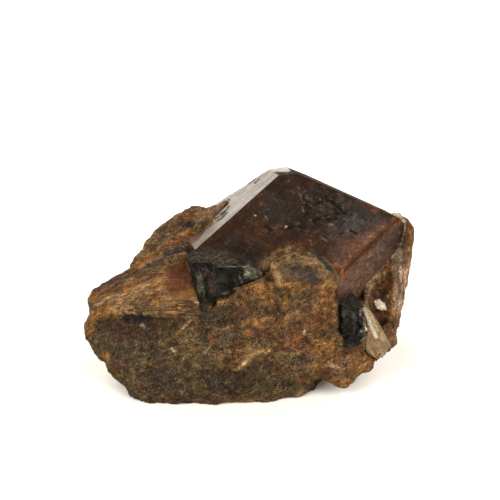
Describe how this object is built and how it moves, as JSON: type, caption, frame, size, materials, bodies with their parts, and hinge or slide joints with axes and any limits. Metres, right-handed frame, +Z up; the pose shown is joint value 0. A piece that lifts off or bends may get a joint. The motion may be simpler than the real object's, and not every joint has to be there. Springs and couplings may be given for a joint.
{
  "type": "garnet in matrix specimen",
  "caption": "Mineral specimen: dark red-brown garnet crystal set in brown granular rock, with a small garnet block, dark diopside, black crystal and pale vein.",
  "frame": {"origin": "on the plane that the specimen rests on, under the middle of its outline", "axes": "+X to the right along the specimen's length, +Y to the back, +Z up"},
  "size_m": [0.0552, 0.0376, 0.0308],
  "materials": {
    "garnet_crystal": "dark red-brown crystal, dull gloss",
    "matrix": "brown granular rock, matte",
    "small_garnet": "orange-brown crystal, dull",
    "diopside_crystal": "green-black crystal, shiny on its break",
    "black_crystal": "black glassy crystal",
    "pale_vein": "pale grey-tan translucent vein",
    "white_grain": "white grain"
  },
  "bodies": {
    "root": {"garnet_crystal": "garnet_crystal", "matrix": "matrix", "small_garnet": "small_garnet", "diopside_crystal": "diopside_crystal", "black_crystal": "black_crystal", "pale_vein": "pale_vein", "white_grain": "white_grain"}
  },
  "joints": []
}
